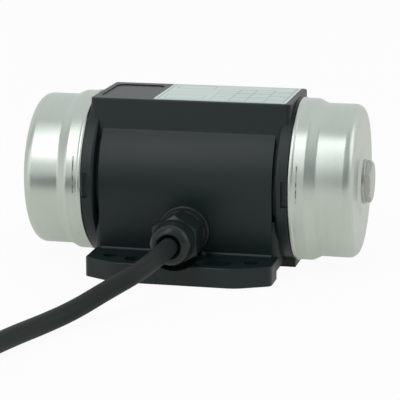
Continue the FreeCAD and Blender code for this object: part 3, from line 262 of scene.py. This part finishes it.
def make_tie():
    """Strap round the six turns, with the ratchet head outside."""
    low = COIL_ROWS[0] - CABLE_R + TIE_T
    high = COIL_ROWS[2] + CABLE_R
    depth = COIL_OUTER - COIL_INNER + 2 * CABLE_R
    turn = math.radians(-TIE_WOUND)
    out = Vector((math.cos(turn), math.sin(turn), 0.0))
    middle = Vector((COIL_X, COIL_Y, 0.0)) + out * COIL_MIDDLE
    clear_selection()
    bpy.ops.mesh.primitive_cube_add(
        size=1.0, location=(middle.x * MM, middle.y * MM, (low + high) / 2 * MM),
        rotation=(0.0, 0.0, turn), scale=(depth * MM, TIE_W * MM, (high - low) * MM))
    strap = rename("cable_tie")
    bpy.ops.object.transform_apply(location=False, rotation=False, scale=True)
    choose(strap, "edge", lambda a, b: abs(a.x - b.x) < 1e-6 and abs(a.z - b.z) < 1e-6)
    bpy.ops.mesh.bevel(offset=CABLE_R * MM, segments=7, profile=0.5, affect="EDGES")
    bpy.ops.object.mode_set(mode="OBJECT")
    choose(strap, "face", lambda face: abs(face.normal.y) > 0.9)
    bpy.ops.mesh.delete(type="FACE")
    bpy.ops.object.mode_set(mode="OBJECT")
    wall = strap.modifiers.new("strap thickness", "SOLIDIFY")
    wall.thickness = TIE_T * MM
    wall.offset = 0.15
    bpy.ops.object.modifier_apply(modifier=wall.name)
    edge = strap.modifiers.new("strap edge", "BEVEL")
    edge.width = STRAP_EDGE * MM
    edge.segments = 2
    edge.limit_method = "ANGLE"
    bpy.ops.object.modifier_apply(modifier=edge.name)
    settle(strap)
    bpy.ops.object.shade_smooth_by_angle(angle=SMOOTH_ANGLE)

    spot = middle + out * (depth / 2 + TIE_HEAD_OUT)
    clear_selection()
    bpy.ops.mesh.primitive_cube_add(
        size=1.0, location=(spot.x * MM, spot.y * MM, COIL_ROWS[1] * MM),
        rotation=(0.0, 0.0, turn), scale=(TIE_HEAD[2] * MM, TIE_HEAD[0] * MM, TIE_HEAD[1] * MM))
    head = rename("tie_head")
    bpy.ops.object.transform_apply(location=False, rotation=False, scale=True)
    bpy.ops.object.mode_set(mode="EDIT")
    bpy.ops.mesh.select_all(action="SELECT")
    bpy.ops.mesh.bevel(offset=HEAD_EDGE * MM, segments=3, profile=0.5, affect="EDGES")
    bpy.ops.object.mode_set(mode="OBJECT")
    choose(head, "face", lambda face: abs(face.normal.z) > 0.99)
    bpy.ops.mesh.inset(thickness=HEAD_RIM * MM, depth=-HEAD_RECESS * MM, use_individual=True)
    settle(head)
    bpy.ops.object.shade_smooth_by_angle(angle=SMOOTH_ANGLE)
    for piece in (strap, head):
        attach(piece, "housing")
    return strap, head


tie = make_tie()

[piece for pair in core_pairs for piece in pair] + list(tie)


# ---------------------------------------------------------------- finishes
def toned(colour, factor, lift=0.0):
    """The colour made darker or lighter, no brighter than white."""
    return tuple(min(1.0, shade * factor + lift) for shade in colour)


class Value:
    """What a node gives, ready to be added, scaled or compared."""

    def __init__(self, finish, socket):
        self.finish = finish
        self.socket = socket

    def worked(self, operation, first, second):
        return self.finish.add("ShaderNodeMath", {"operation": operation}, {0: first, 1: second})

    def __add__(self, other):
        return self.worked("ADD", self, other)

    def __radd__(self, other):
        return self.worked("ADD", other, self)

    def __sub__(self, other):
        return self.worked("SUBTRACT", self, other)

    def __rsub__(self, other):
        return self.worked("SUBTRACT", other, self)

    def __mul__(self, other):
        return self.worked("MULTIPLY", self, other)

    def __rmul__(self, other):
        return self.worked("MULTIPLY", other, self)

    def __truediv__(self, other):
        return self.worked("DIVIDE", self, other)

    def __gt__(self, other):
        return self.worked("GREATER_THAN", self, other)

    def __lt__(self, other):
        return self.worked("LESS_THAN", self, other)

    def most(self, other):
        return self.worked("MAXIMUM", self, other)

    def size(self):
        return self.worked("ABSOLUTE", self, 0.0)


class Finish:
    """A material, its shader and the nodes that vary it over a surface."""

    def __init__(self, name, colour, roughness, metallic=0.0, specular=0.5, coat=0.0):
        self.material = bpy.data.materials.new(name)
        self.material.use_nodes = True
        self.tree = self.material.node_tree
        self.tree.nodes.clear()
        self.shader = self.tree.nodes.new("ShaderNodeBsdfPrincipled")
        output = self.tree.nodes.new("ShaderNodeOutputMaterial")
        self.tree.links.new(self.shader.outputs["BSDF"], output.inputs["Surface"])
        self.shader.inputs["Base Color"].default_value = (*colour, 1.0)
        self.shader.inputs["Roughness"].default_value = roughness
        self.shader.inputs["Metallic"].default_value = metallic
        self.shader.inputs["Specular IOR Level"].default_value = specular
        self.shader.inputs["Coat Weight"].default_value = coat
        self.shader.inputs["Coat Roughness"].default_value = 0.12
        place = self.tree.nodes.new("ShaderNodeTexCoord")
        self.place = self.add("ShaderNodeVectorMath", {"operation": "SCALE"},
                              {0: Value(self, place.outputs["Object"]), "Scale": 1000.0})
        parts = self.add("ShaderNodeSeparateXYZ", {}, {0: self.place})
        self.x, self.y, self.z = [Value(self, s) for s in parts.socket.node.outputs]

    def add(self, kind, settings, values, output=0):
        """Adds a node: its settings first, then the values or links of its sockets."""
        node = self.tree.nodes.new(kind)
        for name, setting in settings.items():
            if name == "stops":
                stops = node.color_ramp.elements
                for i, (position, shade) in enumerate(setting):
                    stop = stops[i] if i < 2 else stops.new(position)
                    stop.position = position
                    stop.color = (shade, shade, shade, 1.0)
            else:
                setattr(node, name, setting)
        for name, value in values.items():
            socket = node.inputs[name]
            if isinstance(value, Value):
                self.tree.links.new(value.socket, socket)
            else:
                socket.default_value = value
        return Value(self, node.outputs[output])

    def noise(self, scale, detail=3.0, roughness=0.55, place=None):
        """Noise with so many cells to the millimetre."""
        return self.add("ShaderNodeTexNoise", {}, {
            "Vector": place or self.place, "Scale": scale, "Detail": detail, "Roughness": roughness})

    def ramp(self, value, stops):
        return self.add("ShaderNodeValToRGB", {"stops": stops}, {0: value})

    def mixed(self, share, first, second):
        """Colour between two colours."""
        shades = [shade if isinstance(shade, Value) else (*shade, 1.0) for shade in (first, second)]
        return self.add("ShaderNodeMix", {"data_type": "RGBA"}, {0: share, 6: shades[0], 7: shades[1]}, 2)

    def joined(self, x, y, z):
        return self.add("ShaderNodeCombineXYZ", {}, {0: x, 1: y, 2: z})

    def colour(self, value):
        self.tree.links.new(value.socket, self.shader.inputs["Base Color"])

    def rough(self, value):
        self.tree.links.new(value.socket, self.shader.inputs["Roughness"])

    def bumpy(self, height, depth_mm):
        """Height from 0 to 1 becomes relief that many millimetres deep."""
        depth = depth_mm * MM
        bump = self.add("ShaderNodeBump", {}, {"Strength": 1.0, "Distance": depth, "Height": height})
        self.tree.links.new(bump.socket, self.shader.inputs["Normal"])

    def edges(self, radius_mm):
        """1 on sharp edges and 0 on faces."""
        rounded = self.add("ShaderNodeBevel", {"samples": 6}, {"Radius": radius_mm * MM})
        true_normal = self.tree.nodes.new("ShaderNodeNewGeometry")
        likeness = self.add("ShaderNodeVectorMath", {"operation": "DOT_PRODUCT"},
                            {0: rounded, 1: Value(self, true_normal.outputs["Normal"])}, "Value")
        return self.ramp(likeness, [(0.90, 1.0), (0.995, 0.0)])

    def zigzag(self, value, height):
        """Goes up to the height and back down again, over and over."""
        return self.add("ShaderNodeMath", {"operation": "PINGPONG"}, {0: value, 1: height})

    def stretched(self, place, factors):
        """The place scaled along each axis."""
        return self.add("ShaderNodeVectorMath", {"operation": "MULTIPLY"}, {0: place, 1: factors})

    def line(self, value, middle, width):
        """1 within a line that many millimetres wide."""
        return (value - middle).size() < width / 2.0

    def inside(self, value, low, high):
        return (value > low) * (value < high)

    def frame(self, across, along, span_x, span_y, width):
        """1 on the outline of a box."""
        sides = self.line(across, span_x[0], width).most(self.line(across, span_x[1], width))
        ends = self.line(along, span_y[0], width).most(self.line(along, span_y[1], width))
        half = width / 2.0
        within = self.inside(across, span_x[0] - half, span_x[1] + half)
        return sides.most(ends) * within * self.inside(along, span_y[0] - half, span_y[1] + half)

    def turned(self):
        """Radius from the shaft and a place that hardly changes around it."""
        y, z = self.y, self.z - AXIS_Z
        radius = self.add("ShaderNodeMath", {"operation": "SQRT"}, {0: y * y + z * z})
        reach = radius.most(0.5)
        return radius, self.joined(self.x + radius, y / reach, z / reach)


def painted(name, colour, roughness):
    """Satin powder paint: faint orange peel, and edges painted lighter: partly worn, thinner paint and
    partly a painted edge highlight.
    """
    f = Finish(name, colour, roughness, specular=0.42)
    peel = f.noise(0.9, detail=2.0)
    fine = f.noise(5.0, detail=2.0)
    cloud = f.noise(0.05, detail=4.0)
    speck = f.ramp(f.noise(1.6, detail=1.0, roughness=0.3), [(0.80, 0.0), (0.82, 1.0)])
    # edges painted lighter: worn paint, and a painted highlight along the edges
    edge = f.edges(0.5) * f.ramp(fine, [(0.35, 0.25), (0.65, 1.0)])
    clouded = f.mixed(cloud, toned(colour, 0.86), colour)
    worn_and_highlit = f.mixed(edge * 0.55, clouded, toned(colour, 2.6, 0.012))
    f.colour(f.mixed(speck * 0.30, worn_and_highlit, (0.10, 0.11, 0.11)))
    f.rough(roughness + 0.06 * (cloud - 0.5) + 0.05 * (fine - 0.5))
    f.bumpy(0.8 * peel + 0.2 * fine, 0.025)
    return f


def drawn_steel(name, colour, roughness):
    """Deep-drawn, circularly brushed stainless sheet with faint handling marks."""
    f = Finish(name, colour, roughness, metallic=1.0)
    _, around = f.turned()
    brushed = f.noise(1.0, detail=5.0, roughness=0.7, place=f.stretched(around, (7.0, 1.2, 1.2)))
    bands = f.noise(1.0, detail=2.0, place=f.stretched(around, (0.45, 0.9, 0.9)))
    smears = f.noise(0.06, detail=5.0)
    fleck = f.ramp(f.noise(0.8, detail=3.0), [(0.70, 0.0), (0.78, 1.0)])
    # the pressed groove on each cap's rim: dented in, with its shade painted dark into the colour
    groove_line = f.line(f.x.size(), CAP_GROOVE_X, GROOVE_W) * (f.y < 0.0) * f.inside(f.z, *GROOVE_SPAN_Z)
    broken = f.ramp(f.noise(0.45, detail=2.0), [(0.40, 0.25), (0.56, 1.0)])
    shaded_groove = groove_line * broken
    tone = f.mixed(0.55 * smears + 0.45 * bands, toned(colour, 0.82), colour)
    flecked = f.mixed(fleck * 0.10, tone, (0.30, 0.30, 0.27))
    f.colour(f.mixed(shaded_groove * 0.85, flecked, (0.05, 0.05, 0.045)))
    f.rough(roughness + 0.16 * (smears - 0.5) + 0.10 * (brushed - 0.5) + 0.2 * shaded_groove)
    f.bumpy(0.7 * brushed + 0.3 * bands - 1.5 * shaded_groove, 0.012)
    return f


def turned_metal(name, colour, roughness, pitch=0.5, relief=0.006, stain=0.12):
    """Metal with fine turning lines about the shaft."""
    f = Finish(name, colour, roughness, metallic=1.0)
    _, around = f.turned()
    lines = f.noise(1.0, detail=3.0, roughness=0.6, place=f.stretched(around, (2.0 / pitch, 0.4, 0.4)))
    cloud = f.noise(0.12, detail=4.0)
    f.colour(f.mixed(0.5 * cloud + 0.5 * lines, toned(colour, 1.0 - 2.0 * stain), colour))
    f.rough(roughness + 0.12 * (cloud - 0.5) + 0.10 * (lines - 0.5))
    f.bumpy(lines, relief)
    return f


def plated(name, colour, tint, roughness):
    """Zinc-plated steel: fine grain and cloudy passivation colours."""
    f = Finish(name, colour, roughness, metallic=1.0)
    cloud = f.noise(0.16, detail=4.0)
    grain = f.noise(3.5, detail=3.0)
    edge = f.edges(0.35)
    tinted = f.mixed(f.ramp(cloud, [(0.35, 0.0), (0.65, 1.0)]), colour, tint)
    f.colour(f.mixed(edge * 0.5, tinted, (0.72, 0.72, 0.70)))
    f.rough(roughness + 0.14 * (grain - 0.5))
    f.bumpy(grain, 0.008)
    return f


def cast_metal(name, colour, roughness):
    f = Finish(name, colour, roughness, metallic=1.0)
    grain = f.noise(1.6, detail=5.0, roughness=0.65)
    f.colour(f.mixed(grain, toned(colour, 0.7), colour))
    f.rough(roughness + 0.2 * (grain - 0.5))
    f.bumpy(grain, 0.03)
    return f


def laminated(name, colour):
    """Half-millimetre electrical sheets seen edge on, with their thin dark joints."""
    f = Finish(name, colour, 0.45, metallic=0.85)
    half_sheet = 0.25
    sheet = f.zigzag(f.x, half_sheet) * (1.0 / half_sheet)
    joint = f.ramp(sheet, [(0.0, 1.0), (0.22, 0.0)])
    cloud = f.noise(0.2, detail=4.0)
    clouded = f.mixed(cloud, toned(colour, 0.7), colour)
    f.colour(f.mixed(joint * 0.7, clouded, (0.03, 0.03, 0.035)))
    f.rough(0.42 + 0.14 * (cloud - 0.5))
    f.bumpy(1.0 - joint, 0.03)
    return f


def wound(name, colour):
    """Varnished copper wires laid round the bore, with painted shade in the valleys between the wires."""
    f = Finish(name, colour, 0.32, specular=0.6, coat=0.4)
    radius, _ = f.turned()
    half_wire = 0.35
    strand = f.zigzag(radius + 0.6 * f.x, half_wire) / half_wire
    drift = f.noise(0.25, detail=3.0)
    # the valleys between the wires are painted dark: painted shade between the wires
    crown = f.ramp(strand, [(0.0, 0.0), (0.5, 1.0)]) * (0.6 + 0.4 * drift)
    f.colour(f.mixed(crown, (0.05, 0.018, 0.008), colour))
    f.bumpy(strand, 0.25)
    return f


def moulded(name, colour, roughness, grain=0.006, specular=0.5):
    """Moulded plastic or rubber with a faint skin."""
    f = Finish(name, colour, roughness, specular=specular)
    skin = f.noise(4.0, detail=3.0)
    cloud = f.noise(0.1, detail=3.0)
    edge = f.edges(0.35)
    clouded = f.mixed(cloud, toned(colour, 0.85), colour)
    f.colour(f.mixed(edge * 0.4, clouded, toned(colour, 1.9, 0.006)))
    f.rough(roughness + 0.08 * (skin - 0.5) + 0.06 * (cloud - 0.5))
    f.bumpy(skin, grain)
    return f


def jacket(name, colour, roughness):
    """Extruded cable jacket, slightly chalky, with faint drawing marks."""
    f = Finish(name, colour, roughness, specular=0.28)
    skin = f.noise(2.2, detail=4.0, roughness=0.6)
    cloud = f.noise(0.07, detail=4.0)
    scuff = f.ramp(f.noise(0.5, detail=5.0, roughness=0.7), [(0.60, 0.0), (0.75, 1.0)])
    clouded = f.mixed(cloud, toned(colour, 0.8), colour)
    f.colour(f.mixed(scuff * 0.35, clouded, toned(colour, 1.8)))
    f.rough(roughness + 0.10 * (cloud - 0.5) + 0.10 * scuff)
    f.bumpy(skin, 0.02)
    return f


# ruling of the plate, measured from its left front corner
RULE_RIM = 1.6            # from the plate's edge to the border
RULE_THICK, RULE_THIN = 0.5, 0.32
BOX_SPAN = (4.0, 21.5)    # of the two empty boxes, along the shaft
HEADING_SPAN = (31.0, 38.0)
LOWER_SPAN = (4.5, 13.0)
TABLE_START, TABLE_TOP = 25.0, 32.5
TABLE_COLUMNS = (34.0, 41.5, 50.0)
ROW_GAP = 5.15


def ruled_plate(name):
    """Off-white rating plate: a printed border, an empty heading box and a blank ruled table."""
    f = Finish(name, (0.66, 0.77, 0.75), 0.38, specular=0.5)
    across = f.x - (PLATE_X - PLATE_L / 2)
    along = f.y - (PLATE_Y - PLATE_W / 2)
    border_x, border_y = (RULE_RIM, PLATE_L - RULE_RIM), (RULE_RIM, PLATE_W - RULE_RIM)
    border = f.frame(across, along, border_x, border_y, RULE_THICK)
    heading = f.frame(across, along, BOX_SPAN, HEADING_SPAN, RULE_THIN)
    lower = f.frame(across, along, BOX_SPAN, LOWER_SPAN, RULE_THIN)
    table = f.inside(across, TABLE_START, PLATE_L - RULE_RIM) * f.inside(along, RULE_RIM, TABLE_TOP)
    row = f.zigzag(along - RULE_RIM, ROW_GAP / 2) < RULE_THICK / 2
    columns = f.line(across, TABLE_START, RULE_THIN)
    for place in TABLE_COLUMNS:
        columns = columns.most(f.line(across, place, RULE_THIN))
    printed = border.most(heading).most(lower).most(table * row.most(columns))
    odd_row = f.zigzag(along - RULE_RIM, ROW_GAP) < ROW_GAP / 2
    first_column, last_column = TABLE_COLUMNS[0], TABLE_COLUMNS[-1]
    left_cells = odd_row * table * f.inside(across, first_column, last_column)
    right_cells = table * f.inside(across, last_column, PLATE_L) * (1.0 - odd_row)
    shaded = left_cells.most(right_cells)
    wash = f.noise(0.09, detail=3.0)
    grain = f.noise(3.0, detail=3.0)
    plain = f.mixed(wash, (0.63, 0.74, 0.72), (0.71, 0.82, 0.79))
    tinted = f.mixed(shaded * 0.4, plain, (0.47, 0.57, 0.55))
    f.colour(f.mixed(printed * 0.75, tinted, (0.16, 0.21, 0.21)))
    f.rough(0.34 + 0.10 * grain)
    f.bumpy(grain * 0.5 - printed * 0.5, 0.008)
    return f


def striped_core(name, colour, stripe):
    """Core insulation with a second colour along one side."""
    f = Finish(name, colour, 0.35)
    side = f.ramp(f.noise(0.35, detail=1.0), [(0.48, 0.0), (0.52, 1.0)])
    f.colour(f.mixed(side, colour, stripe))
    f.rough(0.33 + 0.06 * f.noise(2.0))
    f.bumpy(f.noise(2.5), 0.01)
    return f


def stranded(name):
    """Fine bare copper strands with a slight lay, painted darker in the valleys and lighter on the crowns:
    painted shade and painted highlight.
    """
    f = Finish(name, (0.80, 0.36, 0.20), 0.28, metallic=1.0)
    half_strand = 0.11
    strand = f.zigzag(f.x + f.y + 0.5 * f.z, half_strand) / half_strand
    # darker in the valleys and lighter on the crowns of the strands: painted shade and painted highlight
    f.colour(f.mixed(strand, (0.42, 0.16, 0.08), (0.86, 0.42, 0.24)))
    f.bumpy(strand, 0.08)
    return f


SIDES = ("_left", "_right")


def pair(name):
    return [name + side for side in SIDES]


finishes = {
    painted("satin dark grey paint", (0.0060, 0.0155, 0.0165), 0.40): ["housing"],
    ruled_plate("off-white plate"): ["rating_plate"],
    drawn_steel("brushed stainless sheet", (0.65, 0.695, 0.655), 0.31): pair("cap"),
    turned_metal("stainless washer", (0.60, 0.61, 0.58), 0.30): pair("cap_washer"),
    turned_metal("stainless bolt", (0.56, 0.57, 0.55), 0.30, pitch=0.8): pair("cap_bolt"),
    plated("clear zinc", (0.62, 0.65, 0.68), (0.55, 0.60, 0.70), 0.34):
        pair("bridge_bar") + pair("bridge_posts"),
    moulded("black oxide", (0.020, 0.020, 0.022), 0.42, specular=0.8):
        pair("bridge_screws") + pair("clamp_screw") + ["shield_screws"],
    turned_metal("turned aluminium", (0.70, 0.71, 0.72), 0.34, pitch=0.7, relief=0.012): pair("end_shield"),
    moulded("seal rubber", (0.012, 0.012, 0.012), 0.62, grain=0.02):
        pair("seal_ring") + ["gland_gasket", "gland_insert"],
    turned_metal("spring steel", (0.42, 0.42, 0.44), 0.30): pair("preload_washer") + pair("circlip"),
    turned_metal("polished bearing steel", (0.66, 0.66, 0.68), 0.16, relief=0.002, stain=0.05):
        pair("bearing_outer") + pair("bearing_inner") + pair("bearing_balls"),
    cast_metal("pressed cage steel", (0.58, 0.56, 0.50), 0.36): pair("bearing_cage"),
    turned_metal("ground shaft steel", (0.60, 0.60, 0.62), 0.26, pitch=0.3, relief=0.003):
        ["shaft"] + pair("shaft_spacer") + pair("shaft_key"),
    plated("yellow zinc", (0.62, 0.52, 0.26), (0.50, 0.46, 0.36), 0.36):
        pair("fixed_weight") + pair("outer_weight"),
    laminated("electrical sheet", (0.34, 0.35, 0.38)): ["stator_core", "rotor_core"],
    wound("varnished copper", (0.42, 0.13, 0.045)): ["stator_winding"],
    cast_metal("cast rotor aluminium", (0.70, 0.70, 0.72), 0.42): ["rotor_cage"],
    moulded("gland nylon", (0.0125, 0.0215, 0.0205), 0.28, grain=0.004, specular=0.35):
        ["gland_body", "gland_nut"],
    moulded("lead insulation", (0.30, 0.05, 0.03), 0.40): ["lead_wires"],
}


def dress(names, finish):
    """Gives CAD nodes their finish."""
    for name in names:
        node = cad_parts[name]
        node.data.materials.clear()
        node.data.materials.append(finish.material)


for finish, names in finishes.items():
    dress(names, finish)

jacket_finish = jacket("cable jacket", (0.011, 0.018, 0.0175), 0.52)
cable.data.materials.append(jacket_finish.material)
dress(["cable_entry", "cable_run", "cable_coil", "cable_tail"], jacket_finish)
tie_finish = moulded("tie nylon", (0.014, 0.014, 0.015), 0.36)
for piece in tie:
    piece.data.materials.append(tie_finish.material)

core_finishes = [
    moulded("brown core", (0.09, 0.035, 0.018), 0.36),
    moulded("black core", (0.012, 0.012, 0.012), 0.36),
    moulded("grey core", (0.22, 0.22, 0.22), 0.36),
    striped_core("green and yellow core", (0.05, 0.30, 0.06), (0.65, 0.52, 0.05)),
]
copper = stranded("bare copper strands")
for (core, wire), finish in zip(core_pairs, core_finishes):
    core.data.materials.append(finish.material)
    wire.data.materials.append(copper.material)
dress(["cable_cores"], core_finishes[0])


# ---------------------------------------------------------------- floor and light
class Room:
    """Node tree of the floor or the world, which look different to the camera, to mirrors and to light."""

    def __init__(self, tree, output):
        self.tree = tree
        tree.nodes.clear()
        self.output = tree.nodes.new(output)
        self.path = tree.nodes.new("ShaderNodeLightPath")

    def add(self, kind, settings, values, output=0):
        """Adds a node: its settings first, then the values or links of its sockets."""
        node = self.tree.nodes.new(kind)
        for name, setting in settings.items():
            setattr(node, name, setting)
        for name, value in values.items():
            if isinstance(value, bpy.types.NodeSocket):
                self.tree.links.new(value, node.inputs[name])
            else:
                node.inputs[name].default_value = value
        return node.outputs[output]

    def between(self, value, low, high):
        """0 where the value is low and 1 where it is high, with a soft step."""
        return self.add("ShaderNodeMapRange", {"interpolation_type": "SMOOTHSTEP"},
                        {"Value": value, "From Min": low, "From Max": high})

    def product(self, first, second):
        return self.add("ShaderNodeMath", {"operation": "MULTIPLY"}, {0: first, 1: second})

    def blend(self, share, first, second):
        return self.add("ShaderNodeMix", {"data_type": "RGBA"}, {0: share, 6: first, 7: second}, 2)

    def joined(self, share, first, second):
        return self.add("ShaderNodeMixShader", {}, {0: share, 1: first, 2: second})

    def finish(self, light, mirrored, seen):
        """What lights the object, what metal and glass show, and what the camera sees."""
        shiny = self.add("ShaderNodeMath", {"operation": "MAXIMUM"}, {
            0: self.path.outputs["Is Glossy Ray"], 1: self.path.outputs["Is Transmission Ray"]})
        most = self.joined(shiny, light, mirrored)
        most = self.joined(self.path.outputs["Is Camera Ray"], most, seen)
        self.tree.links.new(most, self.output.inputs["Surface"])


FLOOR_SIZE = 6.0
FLOOR_DROP = 0.0002       # below the object, so that the two faces never coincide


def make_floor():
    clear_selection()
    bpy.ops.mesh.primitive_plane_add(size=FLOOR_SIZE, location=(0.0, 0.0, -FLOOR_DROP))
    floor = rename("floor")
    material = bpy.data.materials.new("white floor")
    material.use_nodes = True
    room = Room(material.node_tree, "ShaderNodeOutputMaterial")
    matt = room.add("ShaderNodeBsdfDiffuse", {}, {"Color": (0.80, 0.80, 0.79, 1.0)})
    glow = room.add("ShaderNodeEmission", {}, {"Color": (1.0, 1.0, 1.0, 1.0)})
    dull_glow = room.add("ShaderNodeEmission", {}, {"Color": (0.97, 1.0, 0.92, 1.0), "Strength": 1.0})
    room.finish(matt, room.joined(0.45, matt, dull_glow), room.joined(0.94, matt, glow))
    floor.data.materials.append(material)


def make_world():
    """White to the camera; in metal a pale ceiling over the darker room in front of the object."""
    world = bpy.data.worlds.new("studio")
    bpy.context.scene.world = world
    world.use_nodes = True
    room = Room(world.node_tree, "ShaderNodeOutputWorld")
    place = room.add("ShaderNodeTexCoord", {}, {}, "Generated")
    x, y, z = [room.add("ShaderNodeSeparateXYZ", {}, {0: place}, axis) for axis in range(3)]
    front = room.product(room.between(y, -0.10, -0.70), room.between(z, 0.62, 0.35))
    dark = room.blend(room.between(x, -0.16, -0.30), (0.28, 0.30, 0.29, 1.0), (1.15, 1.18, 1.16, 1.0))
    ceiling = room.blend(room.between(y, 0.25, -0.25), (0.80, 0.82, 0.81, 1.0), (0.58, 0.60, 0.59, 1.0))
    shade = room.blend(front, ceiling, dark)
    mirrored = room.add("ShaderNodeBackground", {}, {"Color": shade})
    light = room.add("ShaderNodeBackground", {}, {"Color": (0.60, 0.61, 0.60, 1.0)})
    seen = room.add("ShaderNodeBackground", {}, {"Color": (1.0, 1.0, 1.0, 1.0)})
    room.finish(light, mirrored, seen)


AIM_HEIGHT = 0.05         # of the lamps' aim above the floor


def soft_box(name, spot, long_way, length, width, watts):
    """Lamp aimed at the object, with its long side as near as can be to the given direction."""
    data = bpy.data.lights.new(name, "AREA")
    data.shape = "RECTANGLE"
    data.size = length
    data.size_y = width
    data.energy = watts
    lamp = bpy.data.objects.new(name, data)
    back = (Vector(spot) - Vector((0.0, 0.0, AIM_HEIGHT))).normalized()
    up = back.cross(Vector(long_way)).normalized()
    side = up.cross(back)
    lamp.location = spot
    lamp.rotation_euler = Matrix((side, up, back)).transposed().to_euler()
    bpy.context.scene.collection.objects.link(lamp)


make_floor()
make_world()
soft_box("front soft box", (-0.30, -0.71, 0.89), (0.30, 0.75, 0.58), 1.10, 0.32, 2.5)
soft_box("side soft box", (1.1, 0.1, 0.7), (0.0, 1.0, 0.0), 0.8, 0.8, 1.6)
